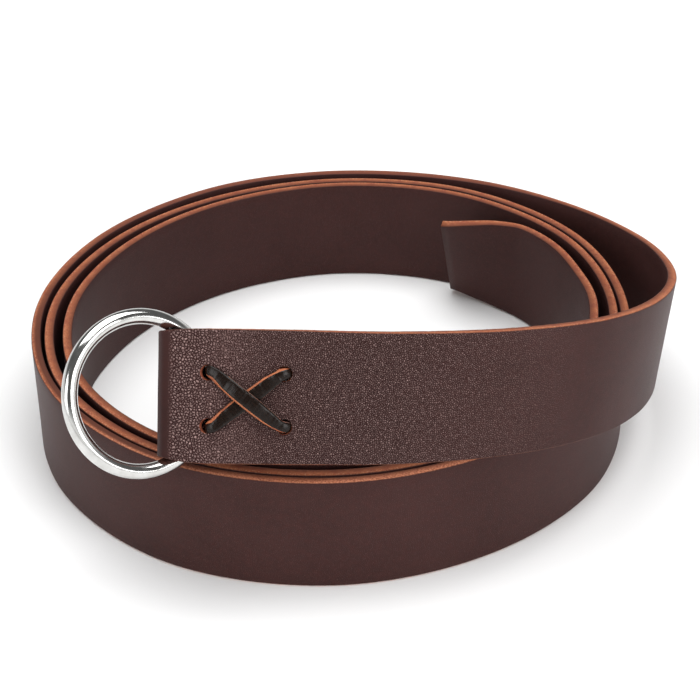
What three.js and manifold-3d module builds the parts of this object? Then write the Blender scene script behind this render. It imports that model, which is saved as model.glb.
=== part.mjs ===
// A long leather belt that lies as a loose round coil on its lower edge, with a steel ring
// held in the folded end of the strap and a leather lace stitched as a cross through the fold.
// Millimetres, +Z up. The belt stands on z = 0.
import * as THREE from 'three';
import { mergeVertices } from 'three/addons/utils/BufferGeometryUtils.js';
import Module from 'manifold-3d';

// Strap
const STRAP_WIDTH = 38;
const STRAP_THICKNESS = 3;
const EDGE_BEVEL = 0.5;
const STATION_STEP = 7;
const LOOP_STATIONS = 34;
const DIVISIONS_A_ROW = 20;

// Ring. It stands in the strap's loop and is turned, its free side towards the front.
const RING_OUTER_DIAMETER = 48;
const RING_WIRE = 4.5;
const RING_FROM_FOLD = -4.05;
const RING_RISE = 0.5;
const RING_DEPTH = 0.7;
const RING_TURN = 32;
const RING_SIDES = 12;
const RING_STEPS = 56;

// Punched holes
const HOLE_RADIUS = 2.1;
const HOLE_HEIGHT = 7.5;
const HOLE_DROP = 0.8;
const HOLE_SIDES = 16;
const CUT_MARGIN = 1;
const NEAR_HOLE = 14.9;
const NEAR_HOLE_BEHIND = 17;
const FAR_HOLE = 35.9;

// Lace
const LACE_THICKNESS = 1;
const LACE_BEVEL = 0.2;
const LACE_STATIONS = 112;

// Where the middle of the coil stands, so that the whole belt is centred on the origin
const COIL_CENTRE_X = -6.10;
const COIL_CENTRE_Y = 3.49;

// The free tail, from its cut end to the first full lap. It leans in as it nears the end.
// x and y are from the coil's centre, z is the strap's mid height, tip leans its top inward.
const TAIL = [
  { x: 40.3, y: 65.8, z: 19.4, tip: 24 },
  { x: 50.0, y: 62.2, z: 19.4, tip: 16 },
  { x: 58.0, y: 59.1, z: 19.4, tip: 8.5 },
  { x: 66.0, y: 54.6, z: 19.1, tip: 2 },
  { x: 75.5, y: 42.2, z: 19.0, tip: 0 },
  { x: 81.9, y: 25.0, z: 19.0, tip: 0 },
];

// Plan of the coil: how far the strap's middle is from the coil's centre on each of its laps.
// turn is the angle from the right-hand side, clockwise seen from above.
const LAPS = ['first', 'second', 'third'];
const COIL = [
  { turn: 0, first: 85.5, second: 91.7, third: 95.5 },
  { turn: 30, first: 84.9, second: 91.0, third: 95.7 },
  { turn: 60, first: 85.3, second: 90.9, third: 95.0 },
  { turn: 90, first: 88.2, second: 93.8, third: 97.5 },
  { turn: 120, first: 92.0, second: 96.9, third: 100.5 },
  { turn: 150, first: 91.5, second: 97.0, third: 100.7 },
  { turn: 180, first: 87.8, second: 93.8, third: 98.4 },
  { turn: 210, first: 84.6, second: 90.3, third: 96.2 },
  { turn: 240, first: 84.4, second: 88.8, third: 95.9 },
  { turn: 270, first: 87.4, second: 90.9 },
  { turn: 300, first: 91.2, second: 95.2 },
  { turn: 330, first: 93.1, second: 97.0 },
];

// The outer end. It swings away from the laps, climbs at the right and comes to the front on
// top of them, where it leans back. The last row is the outside of the fold.
const RAISED_END = [
  { x: -11.0, y: 96.8, z: 19.05, tip: 2 },
  { x: 24.5, y: 97.6, z: 19.15, tip: 4 },
  { x: 58.0, y: 86.8, z: 19.1, tip: -1 },
  { x: 85.6, y: 64.7, z: 20.0, tip: -9 },
  { x: 103.8, y: 34.9, z: 23.7, tip: -9.5 },
  { x: 108.4, y: 1.0, z: 30.7, tip: -6 },
  { x: 99.5, y: -32.0, z: 39.7, tip: -1.5 },
  { x: 80.3, y: -60.1, z: 48.9, tip: 4.5 },
  { x: 52.2, y: -80.0, z: 56.6, tip: 12 },
  { x: 18.4, y: -89.5, z: 60.7, tip: 19.5 },
  { x: -17.0, y: -90.2, z: 61.6, tip: 27 },
  { x: -50.0, y: -90.4, z: 62.2, tip: 33 },
];

// The loop that holds the ring, as the strap travels on from its front layer, round the fold
// and back. along is from the fold, depth is from the front face to the middle of the leather.
// The leather is pared thinner and drawn in at the fold, and its end sits a little low.
const LOOP = [
  { along: 14.0, depth: 1.5, wall: 3.0, width: 38.0, rise: 0 },
  { along: 9.0, depth: 1.5, wall: 3.0, width: 37.6, rise: 0.1 },
  { along: 5.0, depth: 1.6, wall: 2.9, width: 36.6, rise: 0.3 },
  { along: 2.3, depth: 2.8, wall: 2.4, width: 35.7, rise: 0.5 },
  { along: 1.0, depth: 5.6, wall: 2.0, width: 35.4, rise: 0.5 },
  { along: 2.0, depth: 9.0, wall: 2.4, width: 35.4, rise: 0.5 },
  { along: 5.3, depth: 12.6, wall: 2.9, width: 35.4, rise: 0.5 },
  { along: 9.3, depth: 15.4, wall: 3.0, width: 35.4, rise: 0.5 },
  { along: 13.5, depth: 16.6, wall: 3.0, width: 35.5, rise: 0.5 },
  { along: 17.6, depth: 15.9, wall: 3.0, width: 35.9, rise: 0.3 },
  { along: 22.0, depth: 13.1, wall: 3.0, width: 36.5, rise: 0 },
  { along: 27.0, depth: 9.2, wall: 3.0, width: 37.2, rise: -0.4 },
  { along: 31.5, depth: 6.2, wall: 3.0, width: 37.8, rise: -0.8 },
  { along: 36.0, depth: 5.3, wall: 3.0, width: 38.0, rise: -0.85 },
  { along: 41.5, depth: 5.2, wall: 3.0, width: 38.0, rise: -0.85 },
  { along: 46.8, depth: 5.2, wall: 3.0, width: 38.0, rise: -0.85 },
];

// One strand of the lace on the front, from a near hole down to the far hole on the other
// side. height is in hole heights, lean turns the lace's width, over lifts the upper strand.
const STRAND = [
  { along: 16.4, height: 1, depth: 6.5, lean: 0, width: 2.8, over: 0 },
  { along: 15.2, height: 1, depth: 2.6, lean: 0, width: 2.8, over: 0 },
  { along: 15.1, height: 1, depth: 0.3, lean: 0.15, width: 2.8, over: 0 },
  { along: 16.3, height: 0.92, depth: -1.05, lean: 0.4, width: 3.2, over: 0 },
  { along: 19.3, height: 0.64, depth: -1, lean: 0.6, width: 4.2, over: 0.5 },
  { along: 22.3, height: 0.32, depth: -1, lean: 0.6, width: 4.5, over: 1.25 },
  { along: 25.4, height: 0, depth: -1, lean: 0.6, width: 4.6, over: 1.35 },
  { along: 28.5, height: -0.32, depth: -1, lean: 0.6, width: 4.5, over: 1.25 },
  { along: 31.5, height: -0.64, depth: -1, lean: 0.6, width: 4.2, over: 0.5 },
  { along: 34.5, height: -0.92, depth: -1.05, lean: 0.4, width: 3.2, over: 0 },
  { along: 35.6, height: -1, depth: 0.3, lean: 0.15, width: 2.8, over: 0 },
  { along: 35.7, height: -1, depth: 2.6, lean: 0, width: 2.8, over: 0 },
];

// The run of the lace behind, from a far hole level back to the near hole of the same height
const BACK_RUN = [
  { along: 35.9, depth: 6.0, width: 2.8 },
  { along: 35.7, depth: 7.7, width: 2.8 },
  { along: 34.2, depth: 9.4, width: 3.4 },
  { along: 27.0, depth: 14.0, width: 4 },
  { along: 20.0, depth: 18.7, width: 3.4 },
  { along: 18.2, depth: 19.2, width: 2.8 },
  { along: 17.2, depth: 17.9, width: 2.8 },
  { along: 17.0, depth: 12.0, width: 2.8 },
];

const radians = THREE.MathUtils.degToRad;
const UP = new THREE.Vector3(0, 0, 1);
const MERGE_DISTANCE = 1e-4;

// Path of the strap

function coilPoint(turn, radius) {
  const angle = -radians(turn);
  return { x: radius * Math.cos(angle), y: radius * Math.sin(angle), z: STRAP_WIDTH / 2, tip: 0 };
}

function pathRows() {
  const rows = [...TAIL];
  for (const lap of LAPS) {
    for (const row of COIL) {
      if (row[lap]) rows.push(coilPoint(row.turn, row[lap]));
    }
  }
  return rows.concat(RAISED_END);
}

const ROWS = pathRows();
const PATH = new THREE.CatmullRomCurve3(
  ROWS.map((row) => new THREE.Vector3(row.x, row.y, row.z)), false, 'centripetal');
PATH.arcLengthDivisions = ROWS.length * DIVISIONS_A_ROW;
const PATH_LENGTH = PATH.getLength();

function tipAt(t) {
  const place = t * (ROWS.length - 1);
  const first = Math.min(Math.floor(place), ROWS.length - 2);
  const part = place - first;
  const tips = [-1, 0, 1, 2].map((step) => {
    return ROWS[THREE.MathUtils.clamp(first + step, 0, ROWS.length - 1)].tip;
  });
  const [before, from, to, after] = tips;
  return 0.5 * (2 * from + (to - before) * part
    + (2 * before - 5 * from + 4 * to - after) * part ** 2
    + (3 * from - before - 3 * to + after) * part ** 3);
}

// A frame on the strap: centre, width direction (up the strap) and the outward face normal
function frameAt(length) {
  const u = THREE.MathUtils.clamp(length / PATH_LENGTH, 0, 1);
  const t = PATH.getUtoTmapping(u);
  const centre = PATH.getPoint(t);
  centre.z = Math.max(centre.z, STRAP_WIDTH / 2);
  const along = PATH.getTangent(t);
  const level = new THREE.Vector3().crossVectors(UP, along).normalize();
  const rising = new THREE.Vector3().crossVectors(along, level);
  const tip = radians(tipAt(t));
  const out = level.clone().multiplyScalar(Math.cos(tip)).addScaledVector(rising, Math.sin(tip));
  const up = new THREE.Vector3().crossVectors(along, out).normalize();
  return { centre, along, out, up };
}

// A place near the ring end: along from the fold, up from mid width, deep from the front face
function onRingEnd(along, up, deep) {
  const frame = frameAt(PATH_LENGTH - along);
  return frame.centre.clone()
    .addScaledVector(frame.up, up)
    .addScaledVector(frame.out, STRAP_THICKNESS / 2 - deep);
}

// Lofted solids

function bevelledSection(halfWidth, halfThickness, bevel) {
  const width = halfWidth - bevel;
  const thickness = halfThickness - bevel;
  return [
    [-halfWidth, -thickness], [-halfWidth, thickness], [-width, halfThickness],
    [width, halfThickness], [halfWidth, thickness], [halfWidth, -thickness],
    [width, -halfThickness], [-width, -halfThickness],
  ];
}

// Joins sections placed at stations into one closed skin. A closed loft has no end caps.
function loft(stations, closed) {
  const positions = [];
  const sides = stations[0].section.length;
  for (const { centre, up, out, section } of stations) {
    for (const [width, thickness] of section) {
      const corner = centre.clone().addScaledVector(up, width).addScaledVector(out, thickness);
      positions.push(corner.x, corner.y, corner.z);
    }
  }
  const faces = [];
  const spans = closed ? stations.length : stations.length - 1;
  for (let span = 0; span < spans; span += 1) {
    const here = span * sides;
    const next = ((span + 1) % stations.length) * sides;
    for (let side = 0; side < sides; side += 1) {
      const turn = (side + 1) % sides;
      faces.push(here + side, next + side, here + turn, here + turn, next + side, next + turn);
    }
  }
  if (!closed) {
    const last = (stations.length - 1) * sides;
    for (let side = 1; side < sides - 1; side += 1) {
      faces.push(0, side, side + 1, last, last + side + 1, last + side);
    }
  }
  const geometry = new THREE.BufferGeometry();
  geometry.setAttribute('position', new THREE.Float32BufferAttribute(positions, 3));
  geometry.setIndex(signedVolume(positions, faces) > 0 ? faces : faces.reverse());
  return geometry;
}

function signedVolume(positions, faces) {
  const corner = (index) => new THREE.Vector3().fromArray(positions, index * 3);
  let volume = 0;
  for (let face = 0; face < faces.length; face += 3) {
    const [a, b, c] = [corner(faces[face]), corner(faces[face + 1]), corner(faces[face + 2])];
    volume += a.dot(b.cross(c)) / 6;
  }
  return volume;
}

// Booleans

const wasm = await Module();
wasm.setup();

function toSolid(geometry) {
  const bare = geometry.clone();
  bare.deleteAttribute('normal');
  bare.deleteAttribute('uv');
  const merged = mergeVertices(bare, MERGE_DISTANCE);
  return new wasm.Manifold(new wasm.Mesh({
    numProp: 3,
    vertProperties: new Float32Array(merged.attributes.position.array),
    triVerts: new Uint32Array(merged.index.array),
  }));
}

function toGeometry(solid) {
  const mesh = solid.getMesh();
  const geometry = new THREE.BufferGeometry();
  geometry.setAttribute('position', new THREE.BufferAttribute(mesh.vertProperties, 3));
  geometry.setIndex(new THREE.BufferAttribute(mesh.triVerts, 1));
  geometry.computeVertexNormals();
  return geometry;
}

// Strap

function strapStation(frame, width, thickness) {
  return { ...frame, section: bevelledSection(width / 2, thickness / 2, EDGE_BEVEL) };
}

function mainStations() {
  const stations = [];
  const length = PATH_LENGTH - LOOP[0].along;
  const steps = Math.round(length / STATION_STEP);
  for (let step = 0; step <= steps; step += 1) {
    stations.push(strapStation(frameAt(length * step / steps), STRAP_WIDTH, STRAP_THICKNESS));
  }
  return stations;
}

function between(rows, place, column) {
  const from = Math.min(Math.floor(place), rows.length - 2);
  return THREE.MathUtils.lerp(rows[from][column], rows[from + 1][column], place - from);
}

function loopStations() {
  const curve = new THREE.CatmullRomCurve3(
    LOOP.map((row) => new THREE.Vector3(row.along, row.depth, 0)), false, 'centripetal');
  const stations = [];
  for (let step = 1; step <= LOOP_STATIONS; step += 1) {
    const t = curve.getUtoTmapping(step / LOOP_STATIONS);
    const place = t * (LOOP.length - 1);
    const point = curve.getPoint(t);
    const heading = curve.getTangent(t);
    const frame = frameAt(PATH_LENGTH - point.x);
    const out = frame.along.clone().multiplyScalar(heading.y)
      .addScaledVector(frame.out, -heading.x);
    const centre = onRingEnd(point.x, between(LOOP, place, 'rise'), point.y);
    stations.push(strapStation({ centre, up: frame.up, out },
      between(LOOP, place, 'width'), between(LOOP, place, 'wall')));
  }
  return stations;
}

// A round cutter through one or both layers, square to the strap's face
function holeCutter(along, up, from, to) {
  const start = onRingEnd(along, up, from);
  const end = onRingEnd(along, up, to);
  const axis = end.clone().sub(start);
  const cutter = new THREE.CylinderGeometry(HOLE_RADIUS, HOLE_RADIUS, axis.length(), HOLE_SIDES);
  const turn = new THREE.Quaternion().setFromUnitVectors(
    new THREE.Vector3(0, 1, 0), axis.clone().normalize());
  cutter.applyQuaternion(turn);
  cutter.translate(...start.lerp(end, 0.5).toArray());
  return toSolid(cutter);
}

function holeHeights() {
  return [HOLE_HEIGHT - HOLE_DROP, -HOLE_HEIGHT - HOLE_DROP];
}

function strapGeometry() {
  let strap = toSolid(loft([...mainStations(), ...loopStations()], false));
  const bulge = Math.max(...LOOP.map((row) => row.depth));
  const backFace = LOOP[LOOP.length - 1].depth + STRAP_THICKNESS / 2;
  for (const up of holeHeights()) {
    strap = strap
      .subtract(holeCutter(NEAR_HOLE, up, -CUT_MARGIN, STRAP_THICKNESS + CUT_MARGIN))
      .subtract(holeCutter(
        NEAR_HOLE_BEHIND, up, bulge - STRAP_THICKNESS, bulge + STRAP_THICKNESS))
      .subtract(holeCutter(FAR_HOLE, up, -CUT_MARGIN, backFace + CUT_MARGIN));
  }
  return toGeometry(strap);
}

// Ring

function ringPlace() {
  const frame = frameAt(PATH_LENGTH);
  const turn = radians(RING_TURN);
  const across = frame.along.clone().multiplyScalar(-Math.cos(turn))
    .addScaledVector(frame.out, -Math.sin(turn));
  const axis = new THREE.Vector3().crossVectors(across, frame.up);
  const centre = onRingEnd(0, RING_RISE, RING_DEPTH)
    .addScaledVector(frame.along, -RING_FROM_FOLD);
  return new THREE.Matrix4().makeBasis(across, frame.up, axis).setPosition(centre);
}

function ringMesh() {
  const radius = (RING_OUTER_DIAMETER - RING_WIRE) / 2;
  const geometry = new THREE.TorusGeometry(radius, RING_WIRE / 2, RING_SIDES, RING_STEPS);
  const mesh = new THREE.Mesh(geometry, steel());
  mesh.name = 'ring';
  mesh.applyMatrix4(ringPlace());
  return mesh;
}

// Lace

// The lace is one closed loop: a strand down the front, a run behind at the lower holes,
// a strand up the front under the first, and a run behind at the upper holes
function laceRows() {
  const rows = [];
  for (const side of [1, -1]) {
    for (const row of STRAND) {
      rows.push({
        along: row.along,
        up: side * row.height * HOLE_HEIGHT - HOLE_DROP,
        depth: row.depth - (side > 0 ? row.over : 0),
        lean: side * row.lean,
        width: row.width,
      });
    }
    for (const row of BACK_RUN) {
      rows.push({ ...row, up: -side * HOLE_HEIGHT - HOLE_DROP, lean: 0 });
    }
  }
  return rows;
}

function laceMesh() {
  const rows = laceRows();
  const curve = new THREE.CatmullRomCurve3(
    rows.map((row) => onRingEnd(row.along, row.up, row.depth)), true, 'centripetal');
  const closed = [...rows, rows[0]];
  const stations = [];
  for (let step = 0; step < LACE_STATIONS; step += 1) {
    const t = curve.getUtoTmapping(step / LACE_STATIONS);
    const place = t * rows.length;
    const frame = frameAt(PATH_LENGTH - between(closed, place, 'along'));
    const lean = between(closed, place, 'lean');
    const side = frame.up.clone().addScaledVector(frame.along, -lean);
    const heading = curve.getTangent(t);
    const up = side.addScaledVector(heading, -side.dot(heading)).normalize();
    const half = between(closed, place, 'width') / 2;
    stations.push({
      centre: curve.getPoint(t),
      up,
      out: new THREE.Vector3().crossVectors(heading, up),
      section: bevelledSection(half, LACE_THICKNESS / 2, LACE_BEVEL),
    });
  }
  const mesh = new THREE.Mesh(loft(stations, true), laceLeather());
  mesh.name = 'cross_lace';
  return mesh;
}

// Materials

function strapLeather() {
  return new THREE.MeshStandardMaterial({ color: 0x4a3230, roughness: 0.55, metalness: 0 });
}

function laceLeather() {
  return new THREE.MeshStandardMaterial({ color: 0x1c1814, roughness: 0.5, metalness: 0 });
}

function steel() {
  return new THREE.MeshStandardMaterial({ color: 0xd8d8d6, roughness: 0.12, metalness: 1 });
}

const strap = new THREE.Mesh(strapGeometry(), strapLeather());
strap.name = 'strap';

const belt = new THREE.Group();
belt.add(strap, ringMesh(), laceMesh());
belt.position.set(COIL_CENTRE_X, COIL_CENTRE_Y, 0);
belt.updateMatrixWorld(true);

export default belt;
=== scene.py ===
# A long leather belt that lies as a loose round coil on its lower edge, with a polished steel
# ring in its folded end and a leather lace stitched as a cross through the fold.
import bpy
import math
import numpy as np
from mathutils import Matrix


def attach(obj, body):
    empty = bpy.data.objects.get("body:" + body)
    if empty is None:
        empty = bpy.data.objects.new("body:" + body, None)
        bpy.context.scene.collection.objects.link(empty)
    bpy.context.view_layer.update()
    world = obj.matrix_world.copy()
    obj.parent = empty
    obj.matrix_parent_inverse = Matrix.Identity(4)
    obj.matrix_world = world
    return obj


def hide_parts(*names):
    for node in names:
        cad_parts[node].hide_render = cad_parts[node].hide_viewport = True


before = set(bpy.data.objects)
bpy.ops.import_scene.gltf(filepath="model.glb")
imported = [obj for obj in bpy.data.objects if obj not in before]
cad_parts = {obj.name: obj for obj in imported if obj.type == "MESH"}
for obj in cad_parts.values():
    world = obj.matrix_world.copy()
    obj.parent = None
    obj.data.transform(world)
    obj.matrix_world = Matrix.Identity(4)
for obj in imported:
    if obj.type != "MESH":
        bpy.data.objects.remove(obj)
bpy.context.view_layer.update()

# Lengths are millimetres until a mesh is made, as in the part's source
MM = 0.001
SEED = 7

# The meshes' map, and how far its part for the cut edges is from its part for the faces
UV_MAP = "unrolled"
EDGE_MAP_OFFSET = 60.0

# Strap. Its last FINE_LENGTH before the folded end has the fine mesh that carries the grain
STRAP_WIDTH = 38.0
STRAP_THICKNESS = 3.0
CORNER_RADIUS = 0.42
CORNER_STEPS = 3
EDGE_STEPS = 5
INNER_FACE_STEPS = 12
OUTER_FACE_STEPS = 12
FINE_FACE_SPLIT = 6
COIL_STEP = 3.0
FINE_STEP = 0.5
FINE_LENGTH = 196.0
DIVISIONS_A_ROW = 20
CURVE_DIVISIONS = 200
HEADING_STEP = 1e-4

# How uneven the faces and the cut edges are, and how long their swells
FACE_WAVE = 0.05
FACE_WAVE_SIZE = 9.0
EDGE_FUZZ = 0.05
EDGE_FUZZ_SIZE = 0.9
EDGE_FUZZ_SQUEEZE = 2
EDGE_FUZZ_SALT = 3

# Pebbles of the outer face in the mesh
PEBBLE_SIZE = 1.1
PEBBLE_HEIGHT = 0.08
PEBBLE_SLOPE = 0.45
PEBBLE_ROUNDING = 0.6

# Grain of the outer face in the material. The leather is stretched smooth at the fold, where
# painted shade darkens it. Beside it the grain is coarse with a stronger painted highlight on its
# pebble tops, and further on it is fine and fades. FROM and TO are how far along from the fold
COARSE_GRAIN = 0.78
FINE_GRAIN = 0.55
GRAIN_WOBBLE = 0.9
CREASE_DEPTH = 0.3
NEAR_FOLD_FROM = 11.0
NEAR_FOLD_TO = 30.0
HIGHLIGHT_AT_FOLD = 1.15
HIGHLIGHT_ELSEWHERE = 0.88
SMOOTH_TO = 3.6
GRAIN_FROM = 5.2
GRAIN_FADES_FROM = 66.0
GRAIN_FADES_TO = 126.0
GRAIN_FAR = 0.07

# Places along the strap where its cut edges are dyed darker, where painted shade darkens them under
# the ring and fold, and where painted light brightens the outer lap's front rim
DYED_FROM = 1600.0
DYED_TO = 1740.0
EDGE_DYED_SHARE = 0.6
UNDER_RING_SHADE_FROM = 1440.0
UNDER_RING_SHADE_TO = 1520.0
EDGE_UNDER_RING_SHADE_SHARE = 0.9
LIT_RIM_FROM = 1350.0
LIT_RIM_TO = 1425.0
EDGE_LIT_RIM_SHARE = 0.62
BAND_FADE = 45.0

# Ring
RING_OUTER_DIAMETER = 48.0
RING_WIRE = 4.5
RING_FROM_FOLD = -4.05
RING_RISE = 0.5
RING_DEPTH = 0.7
RING_TURN = 32.0
RING_SIDES = 40
RING_STEPS = 200

# Punched holes. Their mouths on the front flare, and are pulled this far towards the fold
HOLE_RADIUS = 2.1
HOLE_FLARE = 0.1
HOLE_FLARE_DEPTH = 1.2
NEAR_PULL = 0.45
FAR_PULL = -0.1
HOLE_HEIGHT = 7.5
HOLE_DROP = 0.8
HOLE_SIDES = 40
HOLE_MAP_STEP = 0.4
CUT_MARGIN = 1.0
NEAR_HOLE = 14.9
NEAR_HOLE_BEHIND = 17.0
FAR_HOLE = 35.9

# Lace. It is bunched up in the holes. Its skew shows more of one cut edge, and most of all where
# it twists out of the holes near the fold
LACE_THICKNESS = 1.0
LACE_SKEW = 0.12
NEAR_BUNCH = 2.6
FAR_BUNCH = 4.3
BUNCH_WIDTH = 3.2
NEAR_TWIST = 4.0
TWIST_TO = 19.0
LACE_STATIONS = 520

# The coil's centre in the belt's own frame
COIL_CENTRE = (-6.1, 3.49, 0.0)

# The free tail, the laps and the raised end, row for row as in the part's source:
# x and y from the coil's centre, z at mid width, and how far the strap's top leans inward
TAIL = [
    (40.3, 65.8, 19.4, 24), (50.0, 62.2, 19.4, 16), (58.0, 59.1, 19.4, 8.5),
    (66.0, 54.6, 19.1, 2), (75.5, 42.2, 19.0, 0), (81.9, 25.0, 19.0, 0),
]
# The turn clockwise from the right-hand side, then the radius on the first, second and third lap
COIL = [
    (0, 85.5, 91.7, 95.5), (30, 84.9, 91.0, 95.7), (60, 85.3, 90.9, 95.0),
    (90, 88.2, 93.8, 97.5), (120, 92.0, 96.9, 100.5), (150, 91.5, 97.0, 100.7),
    (180, 87.8, 93.8, 98.4), (210, 84.6, 90.3, 96.2), (240, 84.4, 88.8, 95.9),
    (270, 87.4, 90.9), (300, 91.2, 95.2), (330, 93.1, 97.0),
]
LAPS = 3
RAISED_END = [
    (-11.0, 96.8, 19.05, 2), (24.5, 97.6, 19.15, 4), (58.0, 86.8, 19.1, -1),
    (85.6, 64.7, 20.0, -9), (103.8, 34.9, 23.7, -9.5), (108.4, 1.0, 30.7, -6),
    (99.5, -32.0, 39.7, -1.5), (80.3, -60.1, 48.9, 4.5), (52.2, -80.0, 56.6, 12),
    (18.4, -89.5, 60.7, 19.5), (-17.0, -90.2, 61.6, 27), (-50.0, -90.4, 62.2, 33),
]
# The folded end: along from the fold, depth from the front face to mid leather, wall, width, rise
LOOP = np.array([
    (14.0, 1.5, 3.0, 38.0, 0), (9.0, 1.5, 3.0, 37.6, 0.1), (5.0, 1.6, 2.9, 36.6, 0.3),
    (2.3, 2.8, 2.4, 35.7, 0.5), (1.0, 5.6, 2.0, 35.4, 0.5), (2.0, 9.0, 2.4, 35.4, 0.5),
    (5.3, 12.6, 2.9, 35.4, 0.5), (9.3, 15.4, 3.0, 35.4, 0.5), (13.5, 16.6, 3.0, 35.5, 0.5),
    (17.6, 15.9, 3.0, 35.9, 0.3), (22.0, 13.1, 3.0, 36.5, 0), (27.0, 9.2, 3.0, 37.2, -0.4),
    (31.5, 6.2, 3.0, 37.8, -0.8), (36.0, 5.3, 3.0, 38.0, -0.85),
    (41.5, 5.2, 3.0, 38.0, -0.85), (46.8, 5.2, 3.0, 38.0, -0.85),
])
# One strand of the lace: along from the fold, height in hole heights, depth, lean, width, and
# how far it passes over the other strand
STRAND = [
    (16.4, 1, 6.5, 0, 2.8, 0), (15.2, 1, 2.6, 0, 2.8, 0), (15.1, 1, 0.3, 0.15, 2.8, 0),
    (16.3, 0.92, -1.05, 0.4, 3.2, 0), (19.3, 0.64, -1, 0.6, 4.2, 0.5),
    (22.3, 0.32, -1, 0.6, 4.5, 1.25), (25.4, 0, -1, 0.6, 4.6, 1.35),
    (28.5, -0.32, -1, 0.6, 4.5, 1.25), (31.5, -0.64, -1, 0.6, 4.2, 0.5),
    (34.5, -0.92, -1.05, 0.4, 3.2, 0), (35.6, -1, 0.3, 0.15, 2.8, 0),
    (35.7, -1, 2.6, 0, 2.8, 0),
]
# The lace's run behind: along from the fold, depth, width
BACK_RUN = [
    (35.9, 6.0, 2.8), (35.7, 7.7, 2.8), (34.2, 9.4, 3.4), (27.0, 14.0, 4),
    (20.0, 18.7, 3.4), (18.2, 19.2, 2.8), (17.2, 17.9, 2.8), (17.0, 12.0, 2.8),
]

# Multipliers by column, row and salt, and a large one, that mix two numbers out of a cell's place
HASH_MIXES = ((127.1, 311.7, 74.7, 43758.5453), (269.5, 183.3, 19.1, 24634.6345))

UP = np.array([0.0, 0.0, 1.0])


# Curves

class Curve:
    """A centripetal Catmull-Rom curve through points, with its length worked out in equal steps."""

    def __init__(self, points, closed=False, divisions=CURVE_DIVISIONS):
        self.points = np.asarray(points, float)
        self.closed = closed
        steps = self.at(np.linspace(0, 1, divisions + 1))
        lengths = np.linalg.norm(np.diff(steps, axis=0), axis=1)
        self.reach = np.concatenate([[0], np.cumsum(lengths)])
        self.length = self.reach[-1]
        self.divisions = divisions

    def at(self, t):
        points, count = self.points, len(self.points)
        place = np.asarray(t, float) * (count if self.closed else count - 1)
        if self.closed:
            first = np.floor(place).astype(int)
        else:
            first = np.clip(np.floor(place).astype(int), 0, count - 2)
        part = (place - first)[:, None]
        if self.closed:
            before, start, end, after = (points[(first + step) % count] for step in (-1, 0, 1, 2))
        else:
            longer = np.vstack([2 * points[0] - points[1], points, 2 * points[-1] - points[-2]])
            before, start, end, after = (longer[first + 1 + step] for step in (-1, 0, 1, 2))
        gap0, gap1, gap2 = (
            np.sqrt(np.linalg.norm(b - a, axis=1))[:, None]
            for a, b in ((before, start), (start, end), (end, after)))
        from_slope = gap1 * (
            (start - before) / gap0 - (end - before) / (gap0 + gap1) + (end - start) / gap1)
        to_slope = gap1 * (
            (end - start) / gap1 - (after - start) / (gap1 + gap2) + (after - end) / gap2)
        return (start + from_slope * part
                + (3 * (end - start) - 2 * from_slope - to_slope) * part ** 2
                + (2 * (start - end) + from_slope + to_slope) * part ** 3)

    def heading(self, t):
        low, high = np.asarray(t) - HEADING_STEP, np.asarray(t) + HEADING_STEP
        if not self.closed:
            low, high = np.clip(low, 0, 1), np.clip(high, 0, 1)
        return unit(self.at(high) - self.at(low))

    def t_at(self, part):
        shares = np.linspace(0, 1, self.divisions + 1)
        return np.interp(np.asarray(part) * self.length, self.reach, shares)


def unit(vectors):
    return vectors / np.linalg.norm(vectors, axis=-1, keepdims=True)


def path_rows():
    rows = list(TAIL)
    for lap in range(1, LAPS + 1):
        for row in COIL:
            if lap < len(row):
                angle = -math.radians(row[0])
                rows.append((row[lap] * math.cos(angle), row[lap] * math.sin(angle),
                             STRAP_WIDTH / 2, 0))
    return np.array(rows + RAISED_END, float)


ROWS = path_rows()
PATH = Curve(ROWS[:, :3], divisions=len(ROWS) * DIVISIONS_A_ROW)


def tip_at(t):
    """How far the strap's top leans inward, in degrees, on a smooth curve through the rows."""
    place = t * (len(ROWS) - 1)
    first = np.minimum(np.floor(place).astype(int), len(ROWS) - 2)
    part = place - first
    before, start, end, after = (
        ROWS[np.clip(first + step, 0, len(ROWS) - 1), 3] for step in (-1, 0, 1, 2))
    return 0.5 * (2 * start + (end - before) * part
                  + (2 * before - 5 * start + 4 * end - after) * part ** 2
                  + (3 * start - before - 3 * end + after) * part ** 3)


def frames_at(lengths):
    """Centre, heading, outward normal and width direction of the strap at these lengths."""
    t = PATH.t_at(np.clip(np.atleast_1d(lengths) / PATH.length, 0, 1))
    centre = PATH.at(t)
    centre[:, 2] = np.maximum(centre[:, 2], STRAP_WIDTH / 2)
    along = PATH.heading(t)
    level = unit(np.cross(UP, along))
    rising = np.cross(along, level)
    tip = np.radians(tip_at(t))[:, None]
    out = level * np.cos(tip) + rising * np.sin(tip)
    return centre, along, out, unit(np.cross(along, out))


def on_ring_end(along, up, deep):
    """Places near the ring end: along from the fold, up from mid width, deep from the front."""
    centre, _, out, width = frames_at(PATH.length - np.atleast_1d(along))
    up, deep = np.atleast_1d(up)[:, None], np.atleast_1d(deep)[:, None]
    return centre + width * up + out * (STRAP_THICKNESS / 2 - deep)


# Meshes

def make_mesh(name, points, faces, slots, materials, place_uv=None):
    """A smooth-shaded object at the origin, its points in millimetres from the coil's centre."""
    mesh = bpy.data.meshes.new(name)
    moved = (np.asarray(points) + COIL_CENTRE) * MM
    mesh.from_pydata(moved.tolist(), [], [list(face) for face in faces])
    for material in materials:
        mesh.materials.append(material)
    mesh.polygons.foreach_set("material_index", slots)
    mesh.polygons.foreach_set("use_smooth", [True] * len(faces))
    if place_uv is not None:
        layer = mesh.uv_layers.new(name=UV_MAP)
        layer.data.foreach_set("uv", np.asarray(place_uv, float).ravel())
    mesh.update()
    if signed_volume(mesh) < 0:
        mesh.flip_normals()
    piece = bpy.data.objects.new(name, mesh)
    bpy.context.collection.objects.link(piece)
    return piece


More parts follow.
